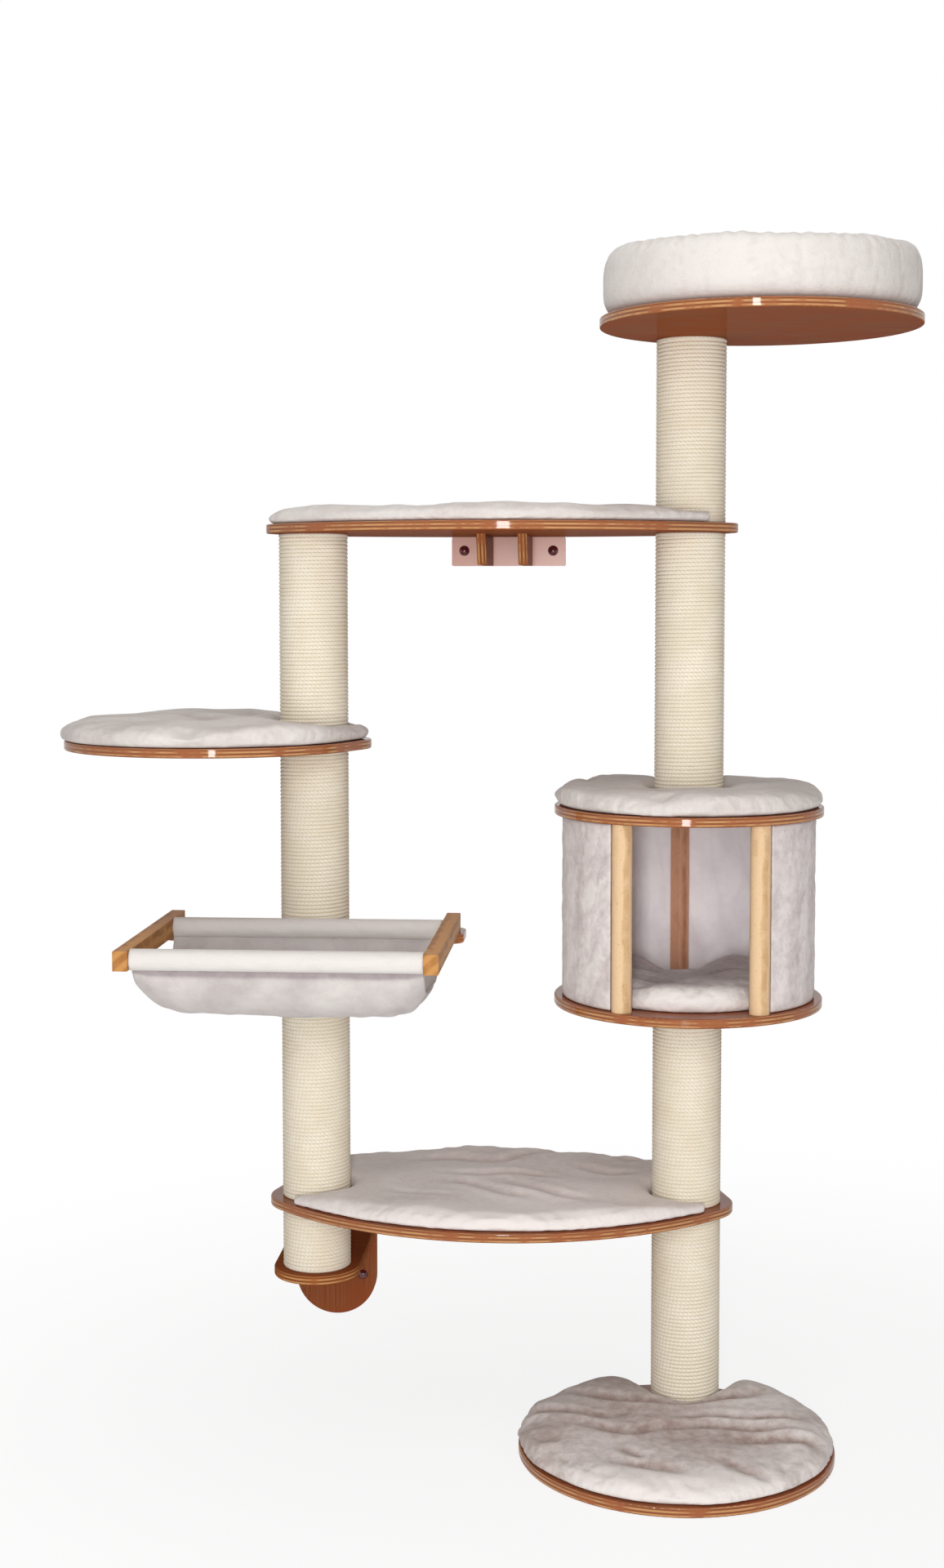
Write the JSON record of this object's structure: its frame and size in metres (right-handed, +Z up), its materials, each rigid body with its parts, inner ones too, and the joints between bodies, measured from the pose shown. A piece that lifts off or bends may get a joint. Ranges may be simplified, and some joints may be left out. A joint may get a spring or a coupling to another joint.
{
  "type": "wall mounted cat tree",
  "caption": "Wall mounted cat tree: rope-wound posts carry plywood shelves, a plush-lined cave, a hammock and a round bolster bed, with wall plates at two heights.",
  "frame": {"origin": "centre of the round base board's underside, on the floor", "axes": "+Z up; +Y from the room towards the wall; +X to the right as seen from the room"},
  "size_m": [1.467, 0.719, 1.9904],
  "materials": {
    "plywood": "gloss",
    "pale_beech": "satin",
    "brown_beech": "satin",
    "plug_wood": "matte",
    "cardboard": "matte",
    "sisal": "matte",
    "steel": "satin",
    "caps": "gloss",
    "hardboard": "matte",
    "wall_plush": "matte",
    "sling_plush": "matte",
    "cushion_plush": "matte"
  },
  "bodies": {
    "tree": {"base_board": "plywood", "bed_board": "plywood", "bracket_screws": "steel", "cave_back_post": "brown_beech", "cave_dowel_left": "pale_beech", "cave_dowel_right": "pale_beech", "cave_floor_board": "plywood", "cave_floor_cushion": "cushion_plush", "cave_roof_board": "plywood", "cave_screws": "steel", "cave_wall_inner_plush": "wall_plush", "cave_wall_outer_plush": "wall_plush", "cave_wall_panel": "hardboard", "end_bolts": "steel", "foot_board": "plywood", "foot_screws": "steel", "gusset_left": "plywood", "gusset_right": "plywood", "hammock_bar_left": "pale_beech", "hammock_bar_right": "pale_beech", "hammock_board": "plywood", "hammock_board_screws": "steel", "hammock_dowel_screws": "steel", "hammock_front_dowel": "pale_beech", "hammock_rear_dowel": "pale_beech", "hammock_sling": "sling_plush", "joining_studs": "steel", "left_shelf_board": "plywood", "lower_screw_caps": "caps", "lower_shelf_board": "plywood", "lower_wall_plate": "plywood", "main_core_base": "cardboard", "main_core_middle": "cardboard", "main_core_top": "cardboard", "main_core_upper": "cardboard", "main_post_plugs": "plug_wood", "main_sisal_base": "sisal", "main_sisal_middle": "sisal", "main_sisal_top": "sisal", "main_sisal_upper": "sisal", "side_core_foot": "cardboard", "side_core_lower": "cardboard", "side_core_middle": "cardboard", "side_core_upper": "cardboard", "side_post_plugs": "plug_wood", "side_sisal_foot": "sisal", "side_sisal_lower": "sisal", "side_sisal_middle": "sisal", "side_sisal_upper": "sisal", "upper_screw_caps": "caps", "upper_shelf_board": "plywood", "upper_wall_plate": "plywood"},
    "bed": {"bed_bolster": "cushion_plush", "bed_pad": "cushion_plush"},
    "cushion_base": {"base_cushion": "cushion_plush"},
    "cushion_lower_shelf": {"lower_shelf_cushion": "cushion_plush"},
    "cushion_left_shelf": {"left_shelf_cushion": "cushion_plush"},
    "cushion_upper_shelf": {"upper_shelf_cushion": "cushion_plush"},
    "cushion_cave_roof": {"cave_roof_cushion": "cushion_plush"}
  },
  "joints": [
    {"name": "bed_lift", "type": "slide", "parent": "tree", "child": "bed", "axis": [0, 0, 1], "range_m": [0, 0.15]},
    {"name": "base_cushion_lift", "type": "slide", "parent": "tree", "child": "cushion_base", "axis": [0, 0, 1], "range_m": [0, 0.12]},
    {"name": "lower_shelf_cushion_lift", "type": "slide", "parent": "tree", "child": "cushion_lower_shelf", "axis": [0, 0, 1], "range_m": [0, 0.12]},
    {"name": "left_shelf_cushion_lift", "type": "slide", "parent": "tree", "child": "cushion_left_shelf", "axis": [0, 0, 1], "range_m": [0, 0.12]},
    {"name": "upper_shelf_cushion_lift", "type": "slide", "parent": "tree", "child": "cushion_upper_shelf", "axis": [0, 0, 1], "range_m": [0, 0.12]},
    {"name": "cave_roof_cushion_lift", "type": "slide", "parent": "tree", "child": "cushion_cave_roof", "axis": [0, 0, 1], "range_m": [0, 0.12]}
  ]
}
